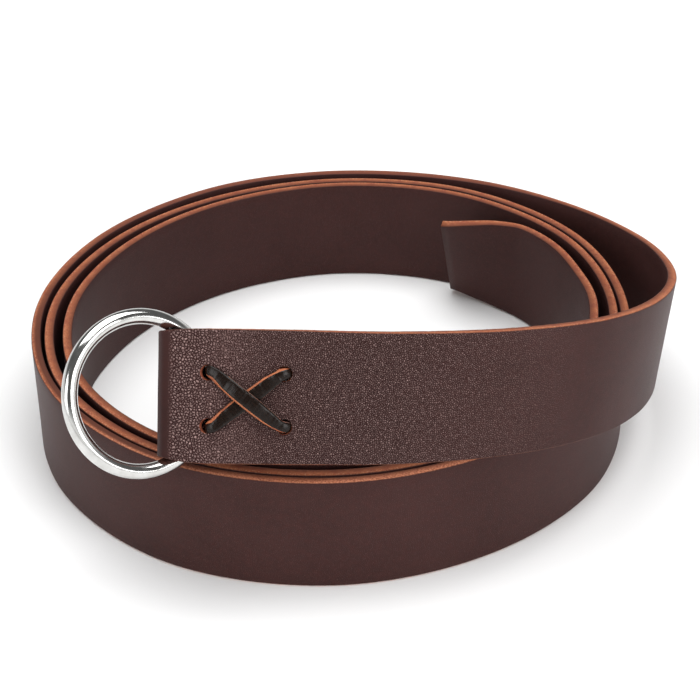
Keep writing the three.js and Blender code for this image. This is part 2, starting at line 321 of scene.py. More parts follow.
def signed_volume(mesh):
    mesh.calc_loop_triangles()
    corners = np.empty(len(mesh.loop_triangles) * 3, int)
    mesh.loop_triangles.foreach_get("vertices", corners)
    places = np.empty(len(mesh.vertices) * 3)
    mesh.vertices.foreach_get("co", places)
    a, b, c = places.reshape(-1, 3)[corners.reshape(-1, 3)].swapaxes(0, 1)
    return np.sum(a * np.cross(b, c)) / 6


def hash_pair(column, row, salt):
    """Two repeatable numbers from 0 to 1 for each cell of a grid."""
    mixed = [np.sin(column * by_column + row * by_row + salt * by_salt) * spread
             for by_column, by_row, by_salt, spread in HASH_MIXES]
    return [number - np.floor(number) for number in mixed]


def pebbles(across, along, size):
    """Height from 0 to 1 of rounded pebbles with creases between them."""
    x, y = across / size, along / size
    nearest = np.full(x.shape, np.inf)
    second = np.full(x.shape, np.inf)
    for step_x in (-1, 0, 1):
        for step_y in (-1, 0, 1):
            column, row = np.floor(x) + step_x, np.floor(y) + step_y
            shift_x, shift_y = hash_pair(column, row, SEED)
            distance = np.hypot(column + shift_x - x, row + shift_y - y)
            second = np.where(distance < nearest, nearest, np.minimum(second, distance))
            nearest = np.minimum(nearest, distance)
    return np.clip((second - nearest) / PEBBLE_SLOPE, 0, 1) ** PEBBLE_ROUNDING


def soft_noise(across, along, size, salt=0):
    """Smooth noise from -1 to 1."""
    x, y = across / size, along / size
    column, row = np.floor(x), np.floor(y)
    ease_x, ease_y = (part * part * (3 - 2 * part) for part in (x - column, y - row))
    corner = [hash_pair(column + a, row + b, SEED + salt)[0] for a in (0, 1) for b in (0, 1)]
    low = corner[0] + (corner[1] - corner[0]) * ease_y
    high = corner[2] + (corner[3] - corner[2]) * ease_y
    return 2 * (low + (high - low) * ease_x) - 1


# Strap

# What a span of the section is, and so its face's material slot
FACE, EDGE = 0, 1


def section_rules(face_steps):
    """The points round the strap's section. Each is a corner or flat's place as shares of the
    half width and half thickness, and its direction from there as shares of the corner radius.
    With them, what each span from one point to the next is."""
    arc = [math.radians(90 * step / CORNER_STEPS) for step in range(1, CORNER_STEPS)]
    rules, spans = [], []

    def flat(steps, kind, corners, out):
        for step in range(steps + 1):
            share = step / steps
            across = [a + (b - a) * share for a, b in zip(*corners)]
            rules.append((*across, *out))
            spans.append(kind if step < steps else EDGE)

    def corner(place, start, end):
        for angle in arc:
            lean = [a * math.cos(angle) + b * math.sin(angle) for a, b in zip(start, end)]
            rules.append((*place, *lean))
            spans.append(EDGE)

    # The last span of a corner that ends at a face is leather like that face
    flat(face_steps, FACE, ((-1, 1), (1, 1)), (0, 1))
    spans[-1] = FACE
    corner((1, 1), (0, 1), (1, 0))
    flat(EDGE_STEPS, EDGE, ((1, 1), (1, -1)), (1, 0))
    corner((1, -1), (1, 0), (0, -1))
    spans[-1] = FACE
    flat(INNER_FACE_STEPS, FACE, ((1, -1), (-1, -1)), (0, -1))
    spans[-1] = FACE
    corner((-1, -1), (0, -1), (-1, 0))
    flat(EDGE_STEPS, EDGE, ((-1, -1), (-1, 1)), (-1, 0))
    corner((-1, 1), (-1, 0), (0, 1))
    spans[-1] = FACE
    return np.array(rules), spans


def grain_strength(from_fold):
    """How strongly the pebbles show, by the distance from the fold along either layer."""
    starts = np.interp(from_fold, (SMOOTH_TO, GRAIN_FROM), (0.0, 1.0))
    fades = np.interp(from_fold, (GRAIN_FADES_FROM, GRAIN_FADES_TO), (1.0, GRAIN_FAR))
    return starts * fades


def strap_stations():
    """Centre, width direction, outward normal, width, wall and travelled length of each section,
    and whether it has the fine outer face."""
    straight = PATH.length - LOOP[0, 0]
    coarse = np.linspace(0, straight - FINE_LENGTH,
                         round((straight - FINE_LENGTH) / COIL_STEP) + 1)
    fine = np.linspace(straight - FINE_LENGTH, straight, round(FINE_LENGTH / FINE_STEP) + 1)[1:]
    lengths = np.concatenate([coarse, fine])
    centre, _, out, up = frames_at(lengths)
    count = len(lengths)
    main = [centre, up, out, np.full(count, STRAP_WIDTH), np.full(count, STRAP_THICKNESS), lengths]

    curve = Curve(np.column_stack([LOOP[:, :2], np.zeros(len(LOOP))]))
    steps = round(curve.length / FINE_STEP)
    share = np.arange(1, steps + 1) / steps
    t = curve.t_at(share)
    place, heading = curve.at(t), curve.heading(t)
    wall, width, rise = (
        np.interp(t * (len(LOOP) - 1), np.arange(len(LOOP)), LOOP[:, column])
        for column in (2, 3, 4))
    _, along, flat_out, up = frames_at(PATH.length - place[:, 0])
    out = along * heading[:, 1:2] - flat_out * heading[:, 0:1]
    centre = on_ring_end(place[:, 0], rise, place[:, 1])
    loop = [centre, up, out, width, wall, straight + share * curve.length]
    joined = [np.concatenate(pair) for pair in zip(main, loop)]
    return joined, np.arange(len(joined[0])) >= len(coarse)


def strap_mesh(materials):
    (centre, up, out, width, wall, travelled), is_fine = strap_stations()
    fold = PATH.length
    coarse_rules, coarse_spans = section_rules(OUTER_FACE_STEPS)
    fine_rules, fine_spans = section_rules(OUTER_FACE_STEPS * FINE_FACE_SPLIT)
    points, unrolled, rings = [], [], []
    for station in range(len(centre)):
        rules = fine_rules if is_fine[station] else coarse_rules
        across = (rules[:, 0] * (width[station] / 2 - CORNER_RADIUS)
                  + rules[:, 2] * CORNER_RADIUS)
        deep = (rules[:, 1] * (wall[station] / 2 - CORNER_RADIUS)
                + rules[:, 3] * CORNER_RADIUS)
        outer = np.clip(rules[:, 3], 0, 1)
        edge = np.abs(rules[:, 2])
        length = np.full(len(rules), travelled[station])
        from_fold = abs(travelled[station] - fold)
        lift = pebbles(across, length, PEBBLE_SIZE) - 1
        lift = lift * PEBBLE_HEIGHT * grain_strength(from_fold) * outer * is_fine[station]
        wave = soft_noise(across, length, FACE_WAVE_SIZE) * FACE_WAVE * (1 - edge)
        fuzz = soft_noise(deep * EDGE_FUZZ_SQUEEZE, length, EDGE_FUZZ_SIZE, EDGE_FUZZ_SALT)
        fuzz = fuzz * EDGE_FUZZ * edge * is_fine[station]
        place = (centre[station] + up[station] * (across + fuzz * np.sign(across))[:, None]
                 + out[station] * (deep + lift + wave)[:, None])
        rings.append((len(points), len(rules)))
        points.extend(place)
        unrolled.extend(zip(length, across, deep))

    faces, slots = [], []

    def add(face, kind):
        faces.append(face)
        slots.append(kind)

    for (first, count), (second, next_count) in zip(rings, rings[1:]):
        if count == next_count:
            spans = coarse_spans if count == len(coarse_spans) else fine_spans
            for step, kind in enumerate(spans):
                turn = (step + 1) % count
                add((first + step, first + turn, second + turn, second + step), kind)
            continue
        ahead = 0
        for step, kind in enumerate(coarse_spans):
            split = FINE_FACE_SPLIT if step < OUTER_FACE_STEPS else 1
            turn = first + (step + 1) % count
            fan = [second + (ahead + part) % next_count for part in range(split, -1, -1)]
            add((first + step, turn, *fan), kind)
            ahead += split
    # The free end is dyed like the faces, and the folded end is raw
    for (start, count), flip in ((rings[0], True), (rings[-1], False)):
        cap = tuple(range(start, start + count))
        add(cap[::-1] if flip else cap, FACE if flip else EDGE)

    table = np.array(unrolled)
    uv = []
    for face, slot in zip(faces, slots):
        for corner in face:
            length, across, deep = table[corner]
            uv.append((length, deep + EDGE_MAP_OFFSET) if slot == EDGE else (length, across))
    return make_mesh("leather_strap", points, faces, slots, materials, uv)


# Punched holes

def hole_cutter(along, up, start_depth, end_depth, pulled=None):
    """A round punch square to the strap's face. Where it is pulled, its mouth on the front is a
    little wider, and is drawn that far towards the fold."""
    start = on_ring_end(along, up, start_depth)[0]
    end = on_ring_end(along, up, end_depth)[0]
    length = np.linalg.norm(end - start)
    axis = unit(end - start)
    side = unit(np.cross(axis, UP))
    other = np.cross(axis, side)
    to_fold = unit(on_ring_end(along - 1, up, start_depth)[0] - start)
    profile = [(0, HOLE_RADIUS, 0), (length, HOLE_RADIUS, 0)]
    if pulled is not None:
        mouth, wide = -start_depth, HOLE_RADIUS + HOLE_FLARE
        profile = [(0, wide, pulled), (mouth, wide, pulled),
                   (mouth + HOLE_FLARE_DEPTH, HOLE_RADIUS, 0), (length, HOLE_RADIUS, 0)]
    points, faces = [], []
    for place, radius, drawn in profile:
        for step in range(HOLE_SIDES):
            angle = 2 * math.pi * step / HOLE_SIDES
            points.append(start + axis * place + to_fold * drawn
                          + (side * math.cos(angle) + other * math.sin(angle)) * radius)
    for ring in range(len(profile) - 1):
        for step in range(HOLE_SIDES):
            turn = (step + 1) % HOLE_SIDES
            low, high = ring * HOLE_SIDES, (ring + 1) * HOLE_SIDES
            faces.append((low + step, low + turn, high + turn, high + step))
    last = (len(profile) - 1) * HOLE_SIDES
    faces.append(tuple(range(HOLE_SIDES))[::-1])
    faces.append(tuple(range(last, last + HOLE_SIDES)))
    uv = [(corner % HOLE_SIDES * HOLE_MAP_STEP, EDGE_MAP_OFFSET)
          for face in faces for corner in face]
    return make_mesh("hole_cutter", points, faces, [EDGE] * len(faces), [], uv)


def punch(strap):
    bulge = LOOP[:, 1].max()
    behind = LOOP[-1, 1] + STRAP_THICKNESS / 2
    cutters = []
    for up in (HOLE_HEIGHT - HOLE_DROP, -HOLE_HEIGHT - HOLE_DROP):
        cutters += [
            hole_cutter(NEAR_HOLE, up, -CUT_MARGIN, STRAP_THICKNESS + CUT_MARGIN, NEAR_PULL),
            hole_cutter(NEAR_HOLE_BEHIND, up, bulge - STRAP_THICKNESS,
                        bulge + STRAP_THICKNESS),
            hole_cutter(FAR_HOLE, up, -CUT_MARGIN, behind + CUT_MARGIN, FAR_PULL),
        ]
    for cutter in cutters:
        cut = strap.modifiers.new("hole", "BOOLEAN")
        cut.operation = "DIFFERENCE"
        cut.solver = "EXACT"
        cut.object = cutter
    apply_modifiers(strap)
    for cutter in cutters:
        bpy.data.objects.remove(cutter)


def apply_modifiers(piece):
    shown = piece.evaluated_get(bpy.context.evaluated_depsgraph_get())
    baked = bpy.data.meshes.new_from_object(shown)
    piece.modifiers.clear()
    piece.data = baked


# Ring

def ring_mesh(material):
    _, along, out, up = (row[0] for row in frames_at(PATH.length))
    turn = math.radians(RING_TURN)
    across = -along * math.cos(turn) - out * math.sin(turn)
    axis = np.cross(across, up)
    middle = on_ring_end(0, RING_RISE, RING_DEPTH)[0] - along * RING_FROM_FOLD
    radius = (RING_OUTER_DIAMETER - RING_WIRE) / 2
    points, faces = [], []
    for step in range(RING_STEPS):
        angle = 2 * math.pi * step / RING_STEPS
        outward = across * math.cos(angle) + up * math.sin(angle)
        for side in range(RING_SIDES):
            round_wire = 2 * math.pi * side / RING_SIDES
            points.append(middle + outward * (radius + math.cos(round_wire) * RING_WIRE / 2)
                          + axis * math.sin(round_wire) * RING_WIRE / 2)
            next_step, next_side = (step + 1) % RING_STEPS, (side + 1) % RING_SIDES
            faces.append((step * RING_SIDES + side, next_step * RING_SIDES + side,
                          next_step * RING_SIDES + next_side, step * RING_SIDES + next_side))
    return make_mesh("steel_ring", points, faces, [0] * len(faces), [material])


# Lace

def lace_rows():
    """Rows round the lace: along, up, depth, lean, width, which cut edge shows more, thickness.
    Where the lace goes through a hole it is bunched up and fills most of it."""
    rows = []
    for side in (1, -1):
        for along, height, depth, lean, width, over in STRAND:
            thickness = LACE_THICKNESS
            if depth > 0:
                thickness = NEAR_BUNCH if height > 0 else FAR_BUNCH
                width = BUNCH_WIDTH
            shows = side * (NEAR_TWIST if along < TWIST_TO else 1)
            rows.append((along, side * height * HOLE_HEIGHT - HOLE_DROP,
                         depth - (over if side > 0 else 0), side * lean, width, shows, thickness))
        for place, (along, depth, width) in enumerate(BACK_RUN):
            thickness = FAR_BUNCH if place == 0 else LACE_THICKNESS
            rows.append((along, -side * HOLE_HEIGHT - HOLE_DROP, depth, 0, width, 0, thickness))
    return np.array(rows)


# The lace's section, as shares of its half width and half thickness, with what each span is:
# a dark face, or the cut edge on the low or high side
LOW_CUT, HIGH_CUT = -1, 1
LACE_SECTION = [
    (-1.0, -1.0, LOW_CUT), (-0.97, 0.2, LOW_CUT), (-0.86, 0.85, 0), (-0.5, 1.0, 0),
    (0.0, 1.06, 0), (0.5, 1.0, 0), (0.86, 0.85, HIGH_CUT), (0.97, 0.2, HIGH_CUT),
    (1.0, -1.0, 0), (0.0, -1.0, 0),
]
FACE_SLOT, CUT_SLOT, HIGHLIGHT_SLOT = 0, 1, 2


def lace_mesh(materials):
    rows = lace_rows()
    curve = Curve(on_ring_end(rows[:, 0], rows[:, 1], rows[:, 2]), closed=True)
    t = curve.t_at(np.arange(LACE_STATIONS) / LACE_STATIONS)
    looped = np.vstack([rows, rows[:1]])
    along, lean, width, skew, thickness = (
        np.interp(t * len(rows), np.arange(len(looped)), looped[:, column])
        for column in (0, 3, 4, 5, 6))
    _, strap_along, _, strap_up = frames_at(PATH.length - along)
    side = strap_up - strap_along * lean[:, None]
    centre, heading = curve.at(t), curve.heading(t)
    up = unit(side - heading * np.sum(side * heading, axis=1)[:, None])
    out = np.cross(heading, up)
    section = np.array(LACE_SECTION)
    count = len(section)
    points, faces, slots, uv = [], [], [], []
    for station in range(LACE_STATIONS):
        for across, thick, _ in section:
            shift = max(thick, 0) * skew[station] * LACE_SKEW
            points.append(centre[station] + up[station] * (across + shift) * width[station] / 2
                          + out[station] * thick * thickness[station] / 2)
    travelled = np.arange(LACE_STATIONS + 1) / LACE_STATIONS * curve.length
    for station in range(LACE_STATIONS):
        ahead = (station + 1) % LACE_STATIONS
        for corner in range(count):
            turn = (corner + 1) % count
            faces.append((station * count + corner, ahead * count + corner,
                          ahead * count + turn, station * count + turn))
            cut = section[corner, 2]
            # The cut edge on the side that the skew hides gets a pale painted highlight
            shows = CUT_SLOT if cut * skew[station] <= 0 else HIGHLIGHT_SLOT
            slots.append(shows if cut else FACE_SLOT)
            low, high = (
                (EDGE_MAP_OFFSET, EDGE_MAP_OFFSET + 1) if cut else (corner, corner + 1))
            uv += [(travelled[station], low), (travelled[station + 1], low),
                   (travelled[station + 1], high), (travelled[station], high)]
    return make_mesh("leather_lace", points, faces, slots, materials, uv)


# Materials

# In the values below, a noise is how many blotches there are to a millimetre (to a metre on the
# ring), how many levels of detail it has, and how rough they are. A value named with TO between
# two words is the range of the first, then what the second is at either end, 0 and 1 if not said.

class Nodes:
    """A short way to write a material's nodes."""

    def __init__(self, name):
        self.material = bpy.data.materials.new(name)
        self.material.use_nodes = True
        self.tree = self.material.node_tree
        self.shader = self.tree.nodes["Principled BSDF"]

    def add(self, kind, links=(), **values):
        node = self.tree.nodes.new(kind)
        for key, value in values.items():
            setattr(node, key, value)
        for socket, source in dict(links).items():
            self.feed(node.inputs[socket], source)
        return node

    def feed(self, socket, source):
        if isinstance(source, bpy.types.NodeSocket):
            self.tree.links.new(source, socket)
        else:
            socket.default_value = source

    def surface(self, sockets):
        """Sets or links the shader's sockets, and gives the material."""
        for name, source in sockets.items():
            self.feed(self.shader.inputs[name], source)
        return self.material

    def unrolled(self):
        """The mesh's own map, in millimetres along the leather and across it."""
        return self.add("ShaderNodeUVMap", uv_map=UV_MAP).outputs["UV"]

    def part(self, vector, axis):
        return self.add("ShaderNodeSeparateXYZ", {"Vector": vector}).outputs[axis]

    def calc(self, operation, first, second=0.0):
        return self.add("ShaderNodeMath", {0: first, 1: second}, operation=operation).outputs[0]

    def fit(self, value, low, high, to_low=0.0, to_high=1.0, smooth=False):
        node = self.add("ShaderNodeMapRange", {
            "Value": value, "From Min": low, "From Max": high,
            "To Min": to_low, "To Max": to_high})
        if smooth:
            node.interpolation_type = "SMOOTHSTEP"
        return node.outputs["Result"]

    def band(self, value, start, end, most):
        """Up to this much between start and end, fading out before and after."""
        rising = self.fit(value, start - BAND_FADE, start, 0.0, most)
        falling = self.fit(value, end, end + BAND_FADE, 1.0, 0.0)
        return self.calc("MULTIPLY", rising, falling)

    def mix(self, share, low, high):
        node = self.add("ShaderNodeMix", {0: share, 2: low, 3: high}, data_type="FLOAT")
        return node.outputs[0]

    def blend(self, share, low, high):
        node = self.add("ShaderNodeMix", data_type="RGBA")
        self.feed(node.inputs["Factor"], share)
        self.feed(node.inputs["A"], low)
        self.feed(node.inputs["B"], high)
        return node.outputs["Result"]

    def stretched(self, vector, scale):
        node = self.add("ShaderNodeMapping", {"Vector": vector, "Scale": scale})
        return node.outputs["Vector"]

    def noise(self, vector, scale, detail, roughness):
        node = self.add("ShaderNodeTexNoise", {
            "Vector": vector, "Scale": scale, "Detail": detail, "Roughness": roughness})
        return node.outputs["Fac"]

    def bump(self, height, depth, strength, normal=None):
        """Depth is in millimetres, and normal is the bump that this one goes on."""
        node = self.add("ShaderNodeBump", {
            "Height": height, "Distance": depth * MM, "Strength": strength})
        if normal is not None:
            self.feed(node.inputs["Normal"], normal)
        return node.outputs["Normal"]


def colour(screen):
    """A linear colour from how it looks on a screen, 0 to 255, by the usual screen curve."""
    def linear(value):
        share = value / 255
        return share / 12.92 if share <= 0.04045 else ((share + 0.055) / 1.055) ** 2.4
    return (*map(linear, screen), 1.0)


def fold_distance(n, along):
    return n.calc("ABSOLUTE", n.calc("SUBTRACT", along, PATH.length))


# Strap leather, outside and inside

STRAP_DARK = colour((54, 31, 29))
STRAP_LIGHT = colour((62, 37, 35))
STRAP_RED = colour((68, 36, 33))
# Painted shade, dark red, for the creases between the pebbles and for the fold's side turned from
# the light
STRAP_PAINTED_SHADE = colour((38, 14, 12))
# Painted highlight: pale grey pebble tops standing in for the sparkle of light on the pebbles
STRAP_PAINTED_HIGHLIGHT = colour((192, 160, 155))
STRAP_SHINE = 0.11
WOBBLE_SCALE, WOBBLE_DETAIL = 0.9, 2.0
CREASE_REACH = 0.55
PORES = (3.4, 4.0, 0.65)
PATCHES = (1.3, 2.0, 0.6)
BROAD = (0.035, 3.0, 0.5)
CLOUDS = (0.4, 4.0, 0.5)
BROAD_TO_LIGHT = (0.3, 0.7)
CLOUDS_TO_RED = (0.42, 0.66, 0.0, 0.35)
START_TO_FOLD_SHADE = (0.0, 1.0, 0.3, 0.0)
PEBBLE_TO_CREASE_SHADE = (0.0, 0.4, 1.0, 0.0)
PEBBLE_TO_HIGHLIGHT = (0.06, 0.8)
NUMBER_TO_HIGHLIGHT = (0.0, 1.0, 0.85, 1.0)
PORES_TO_HIGHLIGHT = (0.4, 0.58, 0.1, 1.0)
PATCHES_TO_HIGHLIGHT = (0.34, 0.6, 0.35, 1.0)
FOLD_TO_HIGHLIGHT = (0.0, 1.0, HIGHLIGHT_ELSEWHERE, HIGHLIGHT_AT_FOLD)
PORES_TO_ROUGHNESS = (0.3, 0.7, 0.38, 0.54)
HIGHLIGHT_IS_SMOOTHER = 0.12
GRAIN_TO_PORES = (0.0, 1.0, 0.3, 1.0)
CREASE_STRENGTH = 1.0
PORE_DEPTH, PORE_STRENGTH = 0.1, 0.8


def grain(n, place, size):
    """Rounded pebbles with soft creases, as a height from 0 to 1, and a number for each pebble."""
    wobble = n.add("ShaderNodeTexNoise", {
        "Vector": place, "Scale": WOBBLE_SCALE / size, "Detail": WOBBLE_DETAIL})
    shift = {0: wobble.outputs["Color"], 1: (size * GRAIN_WOBBLE,) * 3, 2: place}
    bent = n.add("ShaderNodeVectorMath", shift, operation="MULTIPLY_ADD").outputs["Vector"]
    edges, cells = (
        n.add("ShaderNodeTexVoronoi", {"Vector": bent, "Scale": 1 / size},
              feature=feature, voronoi_dimensions="2D")
        for feature in ("DISTANCE_TO_EDGE", "F1"))
    number = n.add("ShaderNodeSeparateColor", {"Color": cells.outputs["Color"]}).outputs[0]
    return n.fit(edges.outputs["Distance"], 0.0, CREASE_REACH, smooth=True), number


def strap_leather():
    """Dark brown grained leather, with a painted highlight on its pebble tops and dark red painted
    shade in its creases and at the fold.
    """
    n = Nodes("strap_leather")
    unrolled = n.unrolled()
    from_fold = fold_distance(n, n.part(unrolled, "X"))
    starts = n.fit(from_fold, SMOOTH_TO, GRAIN_FROM)
    fades = n.fit(from_fold, GRAIN_FADES_FROM, GRAIN_FADES_TO, 1.0, GRAIN_FAR)
    strength = n.calc("MULTIPLY", starts, fades)
    near_fold = n.fit(from_fold, NEAR_FOLD_FROM, NEAR_FOLD_TO, 1.0, 0.0)

    coarse, coarse_number = grain(n, unrolled, COARSE_GRAIN)
    fine, fine_number = grain(n, unrolled, FINE_GRAIN)
    pebble = n.mix(near_fold, fine, coarse)
    number = n.mix(near_fold, fine_number, coarse_number)
    pores = n.noise(unrolled, *PORES)
    patches = n.noise(unrolled, *PATCHES)
    broad = n.noise(unrolled, *BROAD)
    clouds = n.noise(unrolled, *CLOUDS)

    base = n.blend(n.fit(broad, *BROAD_TO_LIGHT), STRAP_DARK, STRAP_LIGHT)
    base = n.blend(n.fit(clouds, *CLOUDS_TO_RED), base, STRAP_RED)
    # Painted shade at the fold, where the leather turns away from the light
    base = n.blend(n.fit(starts, *START_TO_FOLD_SHADE), base, STRAP_PAINTED_SHADE)
    # Painted shade in the creases between the pebbles
    creases = n.calc("MULTIPLY", n.fit(pebble, *PEBBLE_TO_CREASE_SHADE), strength)
    base = n.blend(creases, base, STRAP_PAINTED_SHADE)
    # Painted highlight on the pebble tops, strongest beside the fold, broken up by pebble, pores
    # and patches
    pebble_highlight = n.calc("MULTIPLY", strength, n.fit(near_fold, *FOLD_TO_HIGHLIGHT))
    for source, to_highlight in ((pebble, PEBBLE_TO_HIGHLIGHT), (number, NUMBER_TO_HIGHLIGHT),
                              (pores, PORES_TO_HIGHLIGHT), (patches, PATCHES_TO_HIGHLIGHT)):
        pebble_highlight = n.calc("MULTIPLY", pebble_highlight, n.fit(source, *to_highlight))
    base = n.blend(pebble_highlight, base, STRAP_PAINTED_HIGHLIGHT)

    smoother = n.calc("MULTIPLY", pebble_highlight, HIGHLIGHT_IS_SMOOTHER)
    normal = n.bump(n.calc("MULTIPLY", pebble, strength), CREASE_DEPTH, CREASE_STRENGTH)
    pitted = n.calc("MULTIPLY", pores, n.fit(strength, *GRAIN_TO_PORES))
    return n.surface({
        "Base Color": base,
        "Roughness": n.calc("SUBTRACT", n.fit(pores, *PORES_TO_ROUGHNESS), smoother),
        "Specular IOR Level": STRAP_SHINE,
        "Normal": n.bump(pitted, PORE_DEPTH, PORE_STRENGTH, normal)})


# Cut edges of the strap and the lace

EDGE_LIGHT = colour((184, 112, 76))
EDGE_DARK = colour((128, 70, 46))
EDGE_MARK = colour((146, 79, 51))
EDGE_PALE = colour((186, 130, 98))
# Painted shade for the inner part of the cut edges
EDGE_PAINTED_SHADE = colour((84, 44, 31))
EDGE_DYED = colour((96, 52, 42))
EDGE_RED = colour((126, 62, 48))
# Painted light for the outer lap's front rim, which the raised end above it leaves in shade
EDGE_PAINTED_LIGHT = colour((238, 158, 122))
LACE_EDGE_LIGHT = colour((196, 116, 76))
LACE_EDGE_DARK = colour((150, 78, 48))
# Painted highlight, pale grey-pink, along the lace's corner on the side that its skew hides
LACE_HIGHLIGHT_LIGHT = colour((132, 108, 100))
LACE_HIGHLIGHT_DARK = colour((58, 46, 42))
EDGE_ROUGHNESS = 0.72
EDGE_SHINE = 0.2
FIBRES_STRETCH = (0.9, 2.6, 1.0)
FIBRES = (1.1, 5.0, 0.7)
DOTS = (1.7, 2.0, 0.5)
EDGE_BROAD = (0.09, 3.0, 0.5)
EDGE_PATCHES = (0.32, 3.0, 0.5)
FIBRES_TO_LIGHT = (0.32, 0.68)
BROAD_TO_MARK = (0.38, 0.62, 0.0, 0.7)
PATCHES_TO_RED = (0.46, 0.64, 0.0, 0.6)
DOTS_TO_SPECKS = (0.52, 0.62, 0.0, 0.75)
HEIGHT_TO_SPECKS = (0.1, 0.7)
HEIGHT_TO_SHADE = (-1.1, 0.5, 0.75, 0.0)
FOLD_TO_DARK = (7.0, 16.0, 0.85, 0.0)
DOTS_TO_LIT_RIM = (0.4, 0.56, 0.25, 1.0)
HEIGHT_TO_LIT_RIM = (-0.9, 0.7, 0.1, 1.0)
HEIGHT_TO_UNDER_RING_SHADE = (0.1, 1.1, 1.0, 0.0)
DARK_CORNER, DARK_CORNER_SOLID = 0.3, 0.05
FIBRE_DEPTH, FIBRE_STRENGTH = 0.12, 0.8


def cut_edge(name, light, dark, mark):
    """Raw cut leather: fibres along the cut with pale specks towards the grain, painted shade
    towards the flesh side, and darker at both corners. Only the strap's map is long enough to reach
    the fold, the place that is dyed darker, the painted shade under the ring and the painted light
    on the outer lap's front rim. Height is from the middle of the wall."""
    n = Nodes(name)
    unrolled = n.unrolled()
    height = n.calc("SUBTRACT", n.part(unrolled, "Y"), EDGE_MAP_OFFSET)
    fibres = n.noise(n.stretched(unrolled, FIBRES_STRETCH), *FIBRES)
    dots = n.noise(unrolled, *DOTS)
    broad = n.noise(unrolled, *EDGE_BROAD)
    patches = n.noise(unrolled, *EDGE_PATCHES)
    base = n.blend(n.fit(fibres, *FIBRES_TO_LIGHT), dark, light)
    base = n.blend(n.fit(broad, *BROAD_TO_MARK), base, mark)
    base = n.blend(n.fit(patches, *PATCHES_TO_RED), base, EDGE_RED)
    specks = n.calc("MULTIPLY", n.fit(dots, *DOTS_TO_SPECKS), n.fit(height, *HEIGHT_TO_SPECKS))
    base = n.blend(specks, base, EDGE_PALE)
    # Painted shade over the cut edge's inner part, towards the flesh side
    base = n.blend(n.fit(height, *HEIGHT_TO_SHADE), base, EDGE_PAINTED_SHADE)

    along = n.part(unrolled, "X")
    base = n.blend(n.fit(fold_distance(n, along), *FOLD_TO_DARK), base, STRAP_DARK)
    base = n.blend(n.band(along, DYED_FROM, DYED_TO, EDGE_DYED_SHARE), base, EDGE_DYED)
    # Painted light in pale dots on the outer lap's front rim under the raised end, strongest
    # towards the outer side
    lit_rim = n.calc("MULTIPLY", n.band(along, LIT_RIM_FROM, LIT_RIM_TO, EDGE_LIT_RIM_SHARE),
                    n.fit(dots, *DOTS_TO_LIT_RIM))
    lit_rim = n.calc("MULTIPLY", lit_rim, n.fit(height, *HEIGHT_TO_LIT_RIM))
    base = n.blend(lit_rim, base, EDGE_PAINTED_LIGHT)
    # Painted shade on the outer lap's rim under the ring and fold, over all but the rim's outer
    # part
    under_ring_shade = n.band(along, UNDER_RING_SHADE_FROM, UNDER_RING_SHADE_TO, EDGE_UNDER_RING_SHADE_SHARE)
    under_ring_shade = n.calc("MULTIPLY", under_ring_shade, n.fit(height, *HEIGHT_TO_UNDER_RING_SHADE))
    base = n.blend(under_ring_shade, base, EDGE_PAINTED_SHADE)

    corner = STRAP_THICKNESS / 2
    corners = n.fit(n.calc("ABSOLUTE", height), corner - DARK_CORNER, corner - DARK_CORNER_SOLID)
    return n.surface({
        "Base Color": n.blend(corners, base, STRAP_DARK),
        "Roughness": EDGE_ROUGHNESS,
        "Specular IOR Level": EDGE_SHINE,
        "Normal": n.bump(fibres, FIBRE_DEPTH, FIBRE_STRENGTH)})


# Lace leather

LACE_DARK = colour((12, 7, 5))
LACE_LIGHT = colour((34, 22, 16))
LACE_SHINE = 0.22
LACE_PORES = (2.2, 5.0, 0.6)
LACE_CREASES_STRETCH = (2.2, 0.25, 1.0)
LACE_CREASES = (1.0, 3.0, 0.5)
LACE_SWELLS_STRETCH = (0.3, 0.12, 1.0)
LACE_SWELLS = (1.0, 2.0, 0.5)
PORES_TO_LIGHT = (0.35, 0.7)
CREASES_TO_ROUGHNESS = (0.3, 0.7, 0.2, 0.3)
PORES_BESIDE_CREASES = 0.4
LACE_SWELL_DEPTH, LACE_SWELL_STRENGTH = 0.5, 1.0
LACE_CREASE_DEPTH, LACE_CREASE_STRENGTH = 0.04, 0.8


def lace_leather():
    """Near-black lace leather with a waxed sheen, soft swells and faint creases across it."""
    n = Nodes("lace_leather")
    unrolled = n.unrolled()
    pores = n.noise(unrolled, *LACE_PORES)
    creases = n.noise(n.stretched(unrolled, LACE_CREASES_STRETCH), *LACE_CREASES)
    swells = n.noise(n.stretched(unrolled, LACE_SWELLS_STRETCH), *LACE_SWELLS)
    lines = n.calc("ADD", n.calc("MULTIPLY", pores, PORES_BESIDE_CREASES), creases)
    normal = n.bump(swells, LACE_SWELL_DEPTH, LACE_SWELL_STRENGTH)
    return n.surface({
        "Base Color": n.blend(n.fit(pores, *PORES_TO_LIGHT), LACE_DARK, LACE_LIGHT),
        "Roughness": n.fit(creases, *CREASES_TO_ROUGHNESS),
        "Specular IOR Level": LACE_SHINE,
        "Normal": n.bump(lines, LACE_CREASE_DEPTH, LACE_CREASE_STRENGTH, normal)})


# Steel

STEEL_DARK = colour((202, 201, 198))
STEEL_LIGHT = colour((220, 220, 218))
SMEARS = (260.0, 4.0, 0.6)
PITS = (1500.0, 3.0, 0.7)
SMEARS_TO_LIGHT = (0.35, 0.7)
SMEARS_TO_ROUGHNESS = (0.3, 0.75, 0.05, 0.16)
PIT_DEPTH, PIT_STRENGTH = 0.01, 0.5


